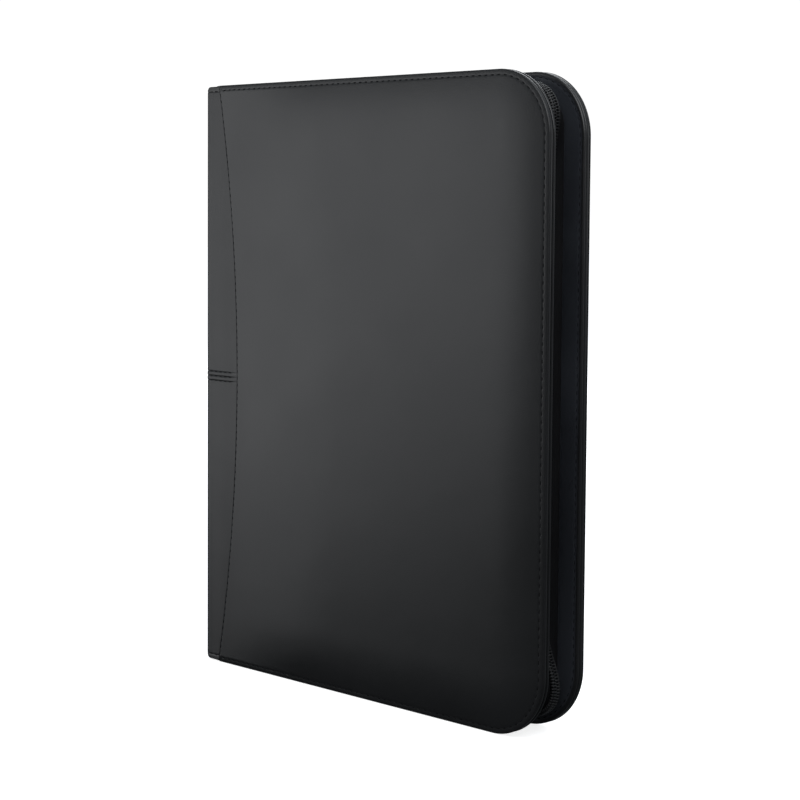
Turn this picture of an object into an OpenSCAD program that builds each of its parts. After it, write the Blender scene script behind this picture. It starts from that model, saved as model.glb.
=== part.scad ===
// Zip-round trading card binder, standing upright on its tail edge.
// The spine is on the left (-X), the zip on the right (+X), the front cover faces -Y.
// The origin is under the middle of the closed binder, on the surface it stands on.

/* [Binder] */
// Height of the covers, tail to head
height = 340; // [280:1:420]
// Width from the spine's outer face to the fore edge
width = 264; // [215:1:330]
// Thickness over the stitched edges of the two covers
thick = 33; // [27:0.5:60]
// Radius of the covers' two outer corners
corner_r = 34; // [24:1:45]

/* [Covers] */
// Outer leather of a cover, at its stitched edge
skin_t = 1.8; // [1:0.1:2.5]
// Board inside a cover
board_t = 2.2; // [1.5:0.1:3]
// Inner lining of a cover
lining_t = 1.5; // [0.8:0.1:2]
// Width of the welt sewn in between leather and lining
welt_w = 8; // [5:0.5:12]
// How far the welt's edge lies behind the leather's edge
welt_in = 0.4; // [0.2:0.1:1]
// Height of the padded face above the stitched edge
crown_h = 1.5; // [0.5:0.1:3]
// Distance of the padding's foot from the cover's edge
crown_in = 6; // [5:0.5:10]
// Width of the padding's sloping shoulder
shoulder_w = 12; // [6:1:18]
// Leather thickness over the padding
pad_skin_t = 1; // [0.6:0.1:1.4]

/* [Spine] */
// Radius of the leather roll at each hinge, round the hinge's own axis
hinge_r = 3; // [2:0.1:4]
// Outer leather of the spine
spine_skin_t = 1.3; // [0.8:0.1:2]
// Board inside the spine
spine_board_t = 2; // [1.2:0.1:3]
// Lining of the spine
spine_lining_t = 1; // [0.6:0.1:1.5]
// How far the spine stops short of the covers at head and tail
spine_in = 0.5; // [0.3:0.1:2]
// Reach of the spine's leather over a cover at head and tail
flap_end = 12.5; // [10:0.5:20]
// Reach of the spine's leather over a cover at mid height
flap_mid = 29; // [22:0.5:45]
// Height of the raised bands across the spine's leather
band_h = 0.4; // [0.2:0.1:0.8]
// Spacing of the two raised bands
band_pitch = 2.7; // [2:0.1:5]

/* [Zip] */
// Depth of the zip tape behind the covers' fore edge
zip_fore = 13.5; // [10:0.5:18]
// Depth of the zip tape behind the covers' head and tail edges
zip_end = 11; // [9:0.5:16]
// Outer radius of the zip tape's corners
zip_r = 18; // [12:1:26]
// Thickness of the zip tape
tape_t = 1; // [0.8:0.1:1.4]
// Width of one row of zip coil
coil_w = 2.8; // [2.4:0.1:3.4]
// Height of the zip coil above its tape
coil_t = 2.2; // [1.6:0.1:2.6]
// Length of the slider
slider_l = 11; // [9:0.5:14]
// Distance from the spine's outer face to the two ends of the zip chain
zip_tail = 24; // [18:1:40]
// Length of a metal stop at the end of a row of coil
stop_l = 2; // [1.5:0.1:3]
// Length of the pull tab from its pin
pull_l = 26; // [18:1:32]
// Width of the pull tab
pull_w = 7; // [5:0.5:10]
// Thickness of the pull tab
pull_t = 1.2; // [0.8:0.1:1.6]
// Radius of the pull tab's pin
pin_r = 0.6; // [0.5:0.05:0.9]

/* [Leaves] */
// Thickness of a leaf's black core sheet
core_t = 0.34; // [0.2:0.02:0.4]
// Thickness of a pocket's film, lying flat
film_t = 0.18; // [0.1:0.02:0.2]
// Pocket columns on a leaf
cols = 3; // [2:1:4]
// Pocket rows on a leaf
rows = 3; // [2:1:4]
// Width of the weld lines round the pockets
weld_w = 2; // [1:0.5:4]
// Free length of film between the binding and a leaf
leaf_gap = 6; // [6:0.5:9]
// Depth of the binding bar
bar_d = 5.6; // [4:0.2:8]
// Radius of a rivet's shank
rivet_r = 1.5; // [1:0.1:2]

/* [Hidden] */
leaf_count = 20;
half = leaf_count / 2;
function leaf_name(i) = str("leaf_", i < 10 ? "0" : "", i);

// Gap between pieces that move past each other, and between pieces laid side by side
clear = 0.3;
seat = 0.1;
// Overlap that joins two solids, and reach of a cutting shape beyond what it cuts
eps = 0.01;
over = 1;

// Faces of the closed binder
x_spine = -width / 2;
x_fore = width / 2;
y_out = thick / 2;
cover_t = skin_t + board_t + lining_t;
y_skin = y_out - skin_t;
y_board = y_skin - board_t;
y_in = y_out - cover_t;

// Hinge axes, and where a cover's layers start beyond them
hinge_x = x_spine + hinge_r;
hinge_y = y_out - hinge_r;
lining_gap = 5;
board_gap = 6;
x_lining = hinge_x + lining_gap;
x_board = hinge_x + board_gap;

// Spine layers
spine_t = spine_skin_t + spine_board_t + spine_lining_t;
spine_half = hinge_y - hinge_r - seat;
seam_sag = flap_mid - flap_end;
seam_r = (pow(height / 2, 2) + pow(seam_sag, 2)) / (2 * seam_sag);
seam_x = x_spine + flap_mid - seam_r;
pad_gap = 2;
x_pad = x_spine + flap_mid + pad_gap;
spine_board_in = spine_in + 1;
band_w = 1.6;
band_x = hinge_x + hinge_r + clear + 0.5;
band_l = flap_mid - 2 * hinge_r - 4;

// Zip, measured inward from the head edge
z_coil = height - zip_end + coil_t;
z_tape = height - zip_end;
z_tape_in = z_tape - tape_t;
x_zip = x_spine + spine_t + bar_d + seat;
tape_edge = 1.1;
coil_edge = 0.15;
x_stop = x_spine + zip_tail;
x_slider = x_stop + stop_l + clear;
x_coil_head = x_slider + slider_l + clear;
x_coil_tail = x_stop + stop_l;
tail_w = 3;
stop_w = 2;
stop_lap = 0.4;
plate_t = 1.2;
flange_t = 0.9;
slider_half = coil_w + coil_edge + clear + flange_t;
z_slider_top = z_coil + clear + plate_t;
z_slider_low = z_tape_in - clear - plate_t;
eye_r = pin_r + clear;
eye_wall = 0.6;
z_pin = z_slider_top + eye_r + eye_wall + clear;
x_pin = x_slider + slider_l / 2;
lug_y = 2;
lug_t = 0.9;
lug_w = 3;
post_l = 3;
post_w = 1.6;
post_side = 2.7;
post_in = 0.6;
neck_l = 5;
neck_lap = 1;
neck_half = lug_y - clear;
pull_hole_d = 0.45 * pull_w;
pull_end = pull_l - pull_w / 2;

// Binding and leaves
leaf_room_z = 8;
z_leaf = zip_end + tape_t + 2 * clear + plate_t + leaf_room_z;
leaf_h = height - 2 * z_leaf;
bar_reach = 6;
bar_in = z_leaf - bar_reach;
rivet_in = 3;
rivet_head_r = 2 * rivet_r - 0.4;
rivet_head_t = 0.6;
x_bar = x_spine + spine_t;
bar_base = 1;
tab_out = 1;
x_leaf_hinge = x_bar + bar_d + tab_out;
leaf_x = x_leaf_hinge + leaf_gap;
leaf_room = 3;
leaf_w = x_fore - zip_fore - tape_t - leaf_room - leaf_x;
side_gap = 1;
leaf_pitch = 2 * (y_in - side_gap) / leaf_count;
leaf_hem = 3;
tab_t = 0.4;
bead_r = 0.28;
slot_t = 0.6;

// A flat shape in X and Z, given thickness from y0 to y1
module sheet(y0, y1) {
    translate([0, y1, 0]) rotate([90, 0, 0])
        linear_extrude(y1 - y0) children();
}

// Cover outline from x0 to the fore edge, drawn in by in_x there and in_z at head and tail
module outline(x0, in_x, in_z, r, fn = 96) {
    x1 = x_fore - in_x;
    z1 = height - in_z;
    translate([x0, in_z]) square([x1 - r - x0, z1 - in_z]);
    translate([x1 - r - eps, in_z + r]) square([r + eps, z1 - in_z - 2 * r]);
    for (z = [in_z + r, z1 - r]) {
        translate([x1 - r, z]) circle(r, $fn = fn);
    }
}

// Cover outline with square ends at the spine, drawn in equally on the other three sides
module inset(d, x0, fn = 96) {
    outline(x0, d, d, corner_r - d, fn);
}

// U-shaped band between two insets of the cover's outline
module band(d0, d1, x0) {
    difference() {
        inset(d0, x0);
        inset(d1, x0 - over);
    }
}

// U-shaped path of the zip, from a depth outside the tape's outer face to a depth inside it
module zip_path(d0, d1, x0_head, x0_tail) {
    difference() {
        outline(x0_tail, zip_fore + d0, zip_end + d0, zip_r - d0);
        outline(x0_tail - over, zip_fore + d1, zip_end + d1, zip_r - d1);
        if (x0_head > x0_tail) {
            translate([x0_tail - over, height / 2])
                square([x0_head - x0_tail + over, height / 2]);
        }
    }
}

// Everything on the spine's side of the curved seam, moved by d
module spine_side(d) {
    translate([seam_x, height / 2]) circle(seam_r + d, $fn = 720);
}

// A block with sloping shoulders, standing on the plane at y_base and reaching outward by h
module pad(foot, x0, y_base, h) {
    hull() {
        sheet(-y_base - eps, -y_base) inset(foot, x0, 32);
        sheet(-y_base - h, -y_base - h + eps) inset(foot + shoulder_w, x0 + shoulder_w, 32);
    }
}

// ---- one cover, drawn as the front one ----

module cover_board() {
    sheet(-y_skin, -y_board) inset(welt_w + seat, x_board);
}

module cover_foam() {
    pad(crown_in + pad_skin_t, x_pad + pad_skin_t, y_skin, skin_t + crown_h - pad_skin_t);
}

module cover_leather() {
    difference() {
        union() {
            sheet(-y_out, -y_skin) difference() {
                inset(0, hinge_x);
                spine_side(seat);
            }
            pad(crown_in, x_pad, y_skin + eps, skin_t + crown_h - eps);
        }
        cover_foam();
    }
}

module raised_bands() {
    for (z = [-band_pitch / 2, band_pitch / 2]) {
        translate([band_x, -y_out - band_h, height / 2 + z - band_w / 2])
            cube([band_l, band_h + eps, band_w]);
    }
}

module cover_flap() {
    difference() {
        sheet(-y_out, -y_skin) intersection() {
            translate([hinge_x, spine_in]) square([flap_mid, height - 2 * spine_in]);
            spine_side(0);
        }
        translate([hinge_x, -hinge_y, -over])
            cylinder(r = hinge_r + clear, h = height + 2 * over, $fn = 64);
    }
    raised_bands();
}

module cover_welt() {
    sheet(-y_skin, -y_board) band(welt_in, welt_w, x_board);
}

module cover_lining() {
    sheet(-y_board, -y_in) inset(0, x_lining);
}

// The tape narrows to a tail at each end, where it is sewn down beside the hinge
module cover_tape() {
    difference() {
        sheet(-y_in, -tape_edge) zip_path(0, tape_t, x_zip, x_zip);
        translate([0, 0, -over]) linear_extrude(height + 2 * over) polygon([
            [x_zip - over, 0],
            [x_zip - over, -y_in + tail_w],
            [x_zip, -y_in + tail_w],
            [x_stop, -tape_edge],
            [x_stop, 0]
        ]);
    }
}

module cover_coil() {
    sheet(-coil_edge - coil_w, -coil_edge) zip_path(-coil_t, 0, x_coil_head, x_coil_tail);
}

// Metal clip folded round the tape's edge, where the tape lies from z_low upward
module stop_clip(z_low) {
    difference() {
        translate([x_stop, -tape_edge - stop_w, z_low - stop_lap])
            cube([stop_l, stop_w + stop_lap, tape_t + 2 * stop_lap]);
        translate([x_stop - over, -tape_edge - stop_w - over, z_low])
            cube([stop_l + 2 * over, stop_w + over, tape_t]);
    }
}

module on_back() {
    mirror([0, 1, 0]) children();
}

// ---- spine ----

module spine_leather() {
    color([0.16, 0.16, 0.17]) {
        translate([x_spine, -hinge_y, spine_in])
            cube([spine_skin_t, 2 * hinge_y, height - 2 * spine_in]);
        for (y = [-hinge_y, hinge_y]) {
            translate([hinge_x, y, spine_in])
                cylinder(r = hinge_r, h = height - 2 * spine_in, $fn = 64);
        }
    }
}

module rivet_places() {
    for (z = [bar_in + rivet_in, height - bar_in - rivet_in]) {
        for (y = [-spine_half / 2, spine_half / 2]) {
            translate([x_spine + spine_skin_t, y, z]) rotate([0, 90, 0]) children();
        }
    }
}

module spine_board() {
    color([0.55, 0.47, 0.36]) difference() {
        translate([x_spine + spine_skin_t, -spine_half, spine_board_in])
            cube([spine_board_t, 2 * spine_half, height - 2 * spine_board_in]);
        rivet_places() translate([0, 0, -over])
            cylinder(r = rivet_r, h = spine_board_t + 2 * over, $fn = 32);
    }
}

module spine_lining() {
    color([0.1, 0.1, 0.11]) difference() {
        translate([x_spine + spine_skin_t + spine_board_t, -spine_half, spine_in])
            cube([spine_lining_t, 2 * spine_half, height - 2 * spine_in]);
        rivet_places() cylinder(r = rivet_r, h = spine_t, $fn = 32);
    }
}

module leaf_places() {
    for (i = [1:leaf_count]) {
        translate([0, leaf_y(i), 0]) children();
    }
}

function leaf_y(i) = (i - half - 0.5) * leaf_pitch;

module binding_bar() {
    color([0.08, 0.08, 0.09]) difference() {
        translate([x_bar, -spine_half, bar_in])
            cube([bar_d, 2 * spine_half, height - 2 * bar_in]);
        leaf_places() translate([x_bar + bar_base, -slot_t / 2, z_leaf - clear])
            cube([bar_d, slot_t, leaf_h + 2 * clear]);
        rivet_places() cylinder(r = rivet_r, h = spine_t + bar_d, $fn = 32);
    }
}

module binding_rivets() {
    color([0.6, 0.6, 0.62]) rivet_places() {
        cylinder(r = rivet_r, h = spine_t - spine_skin_t + bar_d, $fn = 32);
        translate([0, 0, spine_t - spine_skin_t + bar_d])
            cylinder(r = rivet_head_r, h = rivet_head_t, $fn = 32);
    }
}

// Each tab ends in a round welded bead, which the leaf's film bends about
module leaf_tabs() {
    color([0.07, 0.07, 0.08]) leaf_places() {
        translate([x_bar + bar_base + seat, -tab_t / 2, z_leaf])
            cube([x_leaf_hinge - x_bar - bar_base - seat, tab_t, leaf_h]);
        translate([x_leaf_hinge, 0, z_leaf]) cylinder(r = bead_r, h = leaf_h, $fn = 24);
    }
}

// ---- leaves ----

module pocket_films(side) {
    pocket_w = (leaf_w - leaf_hem) / cols;
    pocket_h = leaf_h / rows;
    y_film = side > 0 ? core_t / 2 - eps : -core_t / 2 - film_t;
    for (c = [0:cols - 1]) {
        for (r = [0:rows - 1]) {
            x_film = leaf_x + leaf_hem + c * pocket_w + weld_w / 2;
            z_film = z_leaf + r * pocket_h + weld_w / 2;
            translate([x_film, y_film, z_film])
                cube([pocket_w - weld_w, film_t + eps, pocket_h - weld_w]);
        }
    }
}

module leaf(i) {
    color([0.05, 0.05, 0.06]) translate([0, leaf_y(i), 0]) {
        translate([leaf_x, -core_t / 2, z_leaf]) cube([leaf_w, core_t, leaf_h]);
        pocket_films(-1);
        pocket_films(1);
    }
}

// ---- front cover ----

module front_board() {
    color([0.55, 0.47, 0.36]) cover_board();
}

module front_foam() {
    color([0.85, 0.82, 0.7]) cover_foam();
}

module front_leather() {
    color([0.2, 0.2, 0.21]) cover_leather();
}

module front_flap() {
    color([0.16, 0.16, 0.17]) cover_flap();
}

module front_welt() {
    color([0.14, 0.14, 0.15]) cover_welt();
}

module front_lining() {
    color([0.1, 0.1, 0.11]) cover_lining();
}

module front_tape() {
    color([0.12, 0.12, 0.13]) cover_tape();
}

module front_coil() {
    color([0.25, 0.25, 0.26]) cover_coil();
}

module front_stop() {
    color([0.3, 0.3, 0.3]) stop_clip(zip_end);
}

// ---- back cover ----

module back_board() {
    color([0.55, 0.47, 0.36]) on_back() cover_board();
}

module back_foam() {
    color([0.85, 0.82, 0.7]) on_back() cover_foam();
}

module back_leather() {
    color([0.2, 0.2, 0.21]) on_back() cover_leather();
}

module back_flap() {
    color([0.16, 0.16, 0.17]) on_back() cover_flap();
}

module back_welt() {
    color([0.14, 0.14, 0.15]) on_back() cover_welt();
}

module back_lining() {
    color([0.1, 0.1, 0.11]) on_back() cover_lining();
}

module back_tape() {
    color([0.12, 0.12, 0.13]) on_back() cover_tape();
}

module back_coil() {
    color([0.25, 0.25, 0.26]) on_back() cover_coil();
}

module back_stops() {
    color([0.3, 0.3, 0.3]) on_back() {
        for (z = [zip_end, z_tape_in]) stop_clip(z);
    }
}

// ---- slider, straddling both rows of coil at the head ----

// Wedge-ended post that joins the slider's plates and parts the two rows of coil
module slider_post(post_h) {
    translate([x_slider, 0, z_slider_low]) intersection() {
        translate([0, -post_w / 2, 0])
            cube([post_l, post_w, post_h]);
        rotate([0, 0, 45]) translate([-post_in, post_in - post_side, 0])
            cube([post_side, post_side, post_h]);
    }
}

module slider_body() {
    color([0.1, 0.1, 0.1]) {
        for (z = [z_coil + clear, z_slider_low]) {
            translate([x_slider, -slider_half, z])
                cube([slider_l, 2 * slider_half, plate_t]);
        }
        for (y = [-slider_half, slider_half - flange_t]) {
            translate([x_slider, y, z_tape + clear])
                cube([slider_l, flange_t, coil_t + plate_t / 2]);
        }
        slider_post(z_slider_top - z_slider_low);
    }
}

module slider_bail() {
    color([0.1, 0.1, 0.1]) difference() {
        for (y = [-lug_y - lug_t, lug_y]) {
            translate([x_pin - lug_w / 2, y, z_slider_top])
                cube([lug_w, lug_t, z_pin - z_slider_top]);
            translate([x_pin, y + lug_t, z_pin]) rotate([90, 0, 0])
                cylinder(d = lug_w, h = lug_t, $fn = 32);
        }
        pin_shape(lug_y + lug_t + over);
    }
}

module pin_shape(reach) {
    translate([x_pin, reach, z_pin]) rotate([90, 0, 0])
        cylinder(r = pin_r, h = 2 * reach, $fn = 32);
}

module slider_pin() {
    color([0.4, 0.4, 0.4]) pin_shape(lug_y + lug_t);
}

module pull_tab() {
    color([0.1, 0.1, 0.1]) difference() {
        union() {
            translate([x_pin, neck_half, z_pin]) rotate([90, 0, 0])
                cylinder(r = eye_r + eye_wall, h = 2 * neck_half, $fn = 32);
            translate([x_pin, -neck_half, z_pin - pull_t / 2])
                cube([neck_l, 2 * neck_half, pull_t]);
            translate([x_pin + neck_l - neck_lap, -pull_w / 2, z_pin - pull_t / 2])
                cube([pull_end - neck_l + neck_lap, pull_w, pull_t]);
            translate([x_pin + pull_end, 0, z_pin - pull_t / 2])
                cylinder(d = pull_w, h = pull_t, $fn = 64);
        }
        translate([x_pin, lug_y, z_pin]) rotate([90, 0, 0])
            cylinder(r = eye_r, h = 2 * lug_y, $fn = 32);
        translate([x_pin + pull_end, 0, z_pin - pull_t])
            cylinder(d = pull_hole_d, h = 2 * pull_t, $fn = 32);
    }
}

spine_board();
spine_leather();
spine_lining();
binding_bar();
binding_rivets();
leaf_tabs();
front_board();
front_foam();
front_leather();
front_flap();
front_welt();
front_lining();
front_tape();
front_coil();
front_stop();
back_board();
back_foam();
back_leather();
back_flap();
back_welt();
back_lining();
back_tape();
back_coil();
back_stops();
slider_body();
slider_bail();
slider_pin();
pull_tab();
for (i = [1:leaf_count]) leaf(i);
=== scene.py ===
import math

import bmesh
import bpy
import numpy as np
from mathutils import Matrix, Quaternion, Vector


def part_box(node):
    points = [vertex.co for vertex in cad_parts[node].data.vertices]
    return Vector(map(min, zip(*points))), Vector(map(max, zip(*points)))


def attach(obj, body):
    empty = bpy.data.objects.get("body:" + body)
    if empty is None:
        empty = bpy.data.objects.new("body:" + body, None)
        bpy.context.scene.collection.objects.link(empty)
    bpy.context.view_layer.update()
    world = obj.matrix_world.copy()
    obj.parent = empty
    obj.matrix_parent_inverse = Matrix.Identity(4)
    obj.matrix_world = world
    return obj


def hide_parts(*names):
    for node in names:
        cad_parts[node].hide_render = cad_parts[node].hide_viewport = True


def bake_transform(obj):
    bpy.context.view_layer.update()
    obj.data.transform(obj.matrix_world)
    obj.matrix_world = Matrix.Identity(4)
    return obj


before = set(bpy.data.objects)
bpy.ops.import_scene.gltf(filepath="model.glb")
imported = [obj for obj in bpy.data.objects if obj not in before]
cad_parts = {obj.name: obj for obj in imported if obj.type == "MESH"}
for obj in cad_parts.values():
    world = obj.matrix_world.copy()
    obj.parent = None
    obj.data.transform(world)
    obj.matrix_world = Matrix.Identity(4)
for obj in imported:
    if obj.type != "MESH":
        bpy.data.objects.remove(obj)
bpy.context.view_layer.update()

# Everything below is in millimetres until make() writes a mesh.
# x runs from the spine to the fore edge and z upward. "depth" is the distance from the
# middle of the closed binder, towards the front cover's face or the back cover's.
MM = 0.001


def mm_box(node):
    lo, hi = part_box(node)
    return np.array(lo) / MM, np.array(hi) / MM


# ---- sizes of the frame ----
LINING = mm_box("front_lining")
WELT = mm_box("front_welt")
LEATHER = mm_box("front_leather")
FLAP = mm_box("front_flap")
ROLL = mm_box("spine_leather")
TAPE = mm_box("front_tape")
COIL = mm_box("front_coil")
TABS = mm_box("leaf_tabs")
SPINE_LINING = mm_box("spine_lining")
X_FORE = LINING[1][0]
HEIGHT = LINING[1][2]
X_SPINE = ROLL[0][0]
D_OUT = ROLL[1][1]
D_IN = -LINING[1][1]
D_BOARD = -LINING[0][1]
D_SKIN = -WELT[0][1]
D_FACE = -LEATHER[0][1]
ROLL_R = (ROLL[1][0] - ROLL[0][0]) / 2
X_HINGE = X_SPINE + ROLL_R
D_HINGE = D_OUT - ROLL_R
MID = HEIGHT / 2

# ---- sizes of the sewn work ----
CORNER = 34.0
SEAM_END_IN = 12.5
SEAM_MID = FLAP[1][0]
SEAM_END = X_SPINE + SEAM_END_IN
SAG = SEAM_MID - SEAM_END
SEAM_R = (MID**2 + SAG**2) / (2 * SAG)
SEAM_CX = SEAM_MID - SEAM_R
X_ARC = X_FORE - CORNER
STITCH_IN = 2.9
EDGE_PITCH = 4.35
SEAM_PITCH = 3.95
# Fine columns per stitch, width of the worked edge, and the panel's reach under the spine leather
FINE = 4
BAND_W = 24.0
LAP = 3.0
# Edge rows that stay out of sight, and a distance past every border
HIDDEN_ROWS = 2
FAR = 1e3


def seam_x(z):
    return SEAM_CX + math.sqrt(SEAM_R**2 - (z - MID) ** 2)


def smooth(t):
    t = np.clip(t, 0.0, 1.0)
    return t * t * (3 - 2 * t)


# ---- mesh making ----
def make(name, verts, faces, material, side=-1, sharp=45.0):
    """A closed mesh from points (x, depth, z) in mm; side -1 lays depth towards the front."""
    pts = np.array(verts, float)
    pts[:, 1] *= side
    me = bpy.data.meshes.new(name)
    me.from_pydata((pts * MM).tolist(), [], faces)
    bm = bmesh.new()
    bm.from_mesh(me)
    bmesh.ops.remove_doubles(bm, verts=bm.verts, dist=1e-7)
    bmesh.ops.recalc_face_normals(bm, faces=bm.faces)
    for f in bm.faces:
        f.smooth = True
    bm.to_mesh(me)
    bm.free()
    me.set_sharp_from_angle(angle=math.radians(sharp))
    me.materials.append(material)
    o = bpy.data.objects.new(name, me)
    bpy.context.scene.collection.objects.link(o)
    return o


def loft(rings):
    """Vertices and faces of a capped tube through rings, each a list of points."""
    n = len(rings[0])
    verts = [p for r in rings for p in r]
    faces = []
    for i in range(len(rings) - 1):
        a, b = i * n, (i + 1) * n
        for j in range(n):
            k = (j + 1) % n
            faces.append((a + j, a + k, b + k, b + j))
    faces.append(tuple(range(n))[::-1])
    faces.append(tuple((len(rings) - 1) * n + j for j in range(n)))
    return verts, faces


def merge(parts):
    """One mesh from several (verts, faces) pairs."""
    verts, faces = [], []
    for v, f in parts:
        base = len(verts)
        verts += list(v)
        faces += [tuple(base + i for i in q) for q in f]
    return verts, faces


# ---- the U-shaped run of a cover's edge: head, corner, fore edge, corner, tail ----
def spread(start, stop, count):
    return [start + (stop - start) * i / count for i in range(count + 1)]


# Column places from the border at the spine: close together over the lap, or plain
NEAR_STEPS = [0.0, 2.2, 2.5, 2.8, 3.1, 3.4, 3.7, 4.0, 4.4, 5.0, 6.2, 8.5, 12.0]
FAR_STEPS = [0.0, 3.0, 8.0]


def edge_columns(near=True):
    """Coarse columns (leg, t) round the edge; t is a share of a leg or the angle of a corner."""
    span = X_ARC - SEAM_END
    steps = NEAR_STEPS if near else FAR_STEPS
    run = span + LAP
    rest = spread(steps[-1], run, int(round((run - steps[-1]) / EDGE_PITCH)))[1:]
    leg = [s / run for s in steps + rest]
    turn = spread(0.0, math.pi / 2, 12)
    fore = spread(0.0, 1.0, int(round((HEIGHT - 2 * CORNER) / EDGE_PITCH)))
    cols = [(0, t) for t in leg]
    cols += [(1, t) for t in turn[1:]]
    cols += [(2, t) for t in fore[1:]]
    cols += [(3, t) for t in turn[1:]]
    cols += [(4, 1 - t) for t in leg[::-1][1:]]
    return cols, leg, turn, fore


def refine(cols, n=FINE):
    """The same columns with n - 1 more between each pair."""
    out = [cols[0]]
    for a, b in zip(cols, cols[1:]):
        t0 = a[1] if a[0] == b[0] else 0.0
        for i in range(1, n + 1):
            out.append((b[0], t0 + (b[1] - t0) * i / n))
    return out


def edge_point(col, d, left):
    """(x, z) of a column at inset d from the outline; left(z) is the border at the spine."""
    leg, t = col
    r = CORNER - d
    if leg == 0 or leg == 4:
        z = HEIGHT - d if leg == 0 else d
        x0 = left(z)
        share = t if leg == 0 else 1 - t
        return x0 + share * (X_ARC - x0), z
    if leg == 1:
        return X_ARC + r * math.sin(t), HEIGHT - CORNER + r * math.cos(t)
    if leg == 2:
        return X_FORE - d, HEIGHT - CORNER - t * (HEIGHT - 2 * CORNER)
    return X_ARC + r * math.cos(t), CORNER - r * math.sin(t)


def lengths(points):
    """Distance along a polyline at each of its points."""
    steps = np.linalg.norm(np.diff(np.array(points), axis=0), axis=1)
    return np.concatenate([[0.0], np.cumsum(steps)])


def edge_run(left):
    """Points (x, z) along the stitch line."""
    return [edge_point(c, STITCH_IN, left) for c in refine(edge_columns()[0])]


def dent(s, pitch):
    """1 under the middle of a stitch and 0 where the thread dives between two stitches."""
    return 0.5 - 0.5 * math.cos(2 * math.pi * s / pitch)


# ---- a whole cover sheet: worked edge, shoulder and field ----
def cover_sheet(profile, shoulder, field, left, groove_row, dip, under):
    """profile: fine rows (inset, depth) from the hidden underside round to the face.
    shoulder: coarse insets up to BAND_W. field(d, q): depth at inset d, q from the spine border.
    dip: how far the stitches press the groove row. under: depth of the flat underside."""
    cols, leg, turn, fore = edge_columns()
    fine = refine(cols)
    along = lengths([edge_point(c, STITCH_IN, left) for c in fine])
    count = max(1, round(along[-1] / EDGE_PITCH))
    pitch = along[-1] / count
    verts, faces, rows = [], [], []
    for i, (d, depth) in enumerate(profile):
        row = []
        for c, s in zip(fine, along):
            x, z = edge_point(c, d, left)
            y = depth
            near = abs(i - groove_row)
            if near < len(DENT_WIDTH):
                y += dip * dent(s, pitch) * DENT_WIDTH[near]
            y += field(d, x - left(z)) - field(d, FAR) if i > HIDDEN_ROWS else 0.0
            row.append(len(verts))
            verts.append((x, y, z))
        rows.append(row)
    for a, b in zip(rows, rows[1:]):
        for j in range(len(fine) - 1):
            faces.append((a[j], a[j + 1], b[j + 1], b[j]))
    coarse = rows[-1][::FINE]
    first = True
    side_a, side_b = [r[0] for r in rows], [r[-1] for r in rows]
    for d in shoulder:
        row = []
        for c in cols:
            x, z = edge_point(c, d, left)
            row.append(len(verts))
            verts.append((x, field(d, x - left(z)), z))
        for j in range(len(cols) - 1):
            if first:
                arc = rows[-1][j * FINE : (j + 1) * FINE + 1]
                faces.append((*arc, row[j + 1], row[j]))
            else:
                faces.append((coarse[j], coarse[j + 1], row[j + 1], row[j]))
        side_a.append(row[0])
        side_b.append(row[-1])
        coarse, first = row, False
    spine_column = field_faces(verts, faces, leg, turn, fore, left, field)
    # the border at the spine, closed with a wall, and the flat underside
    border = side_a + spine_column + side_b[::-1]
    low = []
    for v in border:
        x, _, z = verts[v]
        low.append(len(verts))
        verts.append((x, under, z))
    for j in range(len(border) - 1):
        faces.append((border[j], border[j + 1], low[j + 1], low[j]))
    faces.append(tuple(rows[0] + low[::-1]))
    return verts, faces


def field_lines(turn, fore):
    """Offsets of the grid lines inside a corner disc, and the kinds of all lines across."""
    half = len(turn) // 2
    a = [math.sqrt(2) * math.sin(t) for t in turn[1 : half + 1]]
    low, top = [("low", k) for k in a[::-1]], [("top", k) for k in a]
    return a, low + [("mid", 1 - t) for t in fore[::-1]] + top


def field_point(i, zline, leg, a, left):
    """(x, z) of a grid crossing in the field; corner squares are bent into quarter discs."""
    r = CORNER - BAND_W
    kind, k = zline
    if i < len(leg):
        if kind == "mid":
            z = CORNER + k * (HEIGHT - 2 * CORNER)
        else:
            z = CORNER - r * k if kind == "low" else HEIGHT - CORNER + r * k
        x0 = left(z)
        return x0 + leg[i] * (X_ARC - x0), z
    h = a[i - len(leg)]
    if kind == "mid":
        return X_ARC + r * h, CORNER + k * (HEIGHT - 2 * CORNER)
    dx, dz = h * math.sqrt(1 - k * k / 2), k * math.sqrt(1 - h * h / 2)
    z = CORNER - r * dz if kind == "low" else HEIGHT - CORNER + r * dz
    return X_ARC + r * dx, z


def field_faces(verts, faces, leg, turn, fore, left, field):
    """Adds the field's grid and returns its border at the spine, from the head down."""
    a, zs = field_lines(turn, fore)
    n = len(leg) + len(a)
    base = len(verts)
    for zl in zs:
        for i in range(n):
            x, z = field_point(i, zl, leg, a, left)
            d = min(z, HEIGHT - z, X_FORE - x)
            verts.append((x, field(max(d, BAND_W), x - left(z)), z))
    for r in range(len(zs) - 1):
        for i in range(n - 1):
            p = base + r * n + i
            faces.append((p, p + 1, p + n + 1, p + n))
    return [base + r * n for r in range(len(zs))][::-1]


# ---- materials ----
def tree_of(name):
    """A new material, its node tree, its principled shader and object coordinates."""
    m = bpy.data.materials.new(name)
    m.use_nodes = True
    t = m.node_tree
    t.nodes.clear()
    out = t.nodes.new("ShaderNodeOutputMaterial")
    bsdf = t.nodes.new("ShaderNodeBsdfPrincipled")
    t.links.new(bsdf.outputs["BSDF"], out.inputs["Surface"])
    where = t.nodes.new("ShaderNodeTexCoord")
    return m, t, bsdf, where.outputs["Object"]


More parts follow.
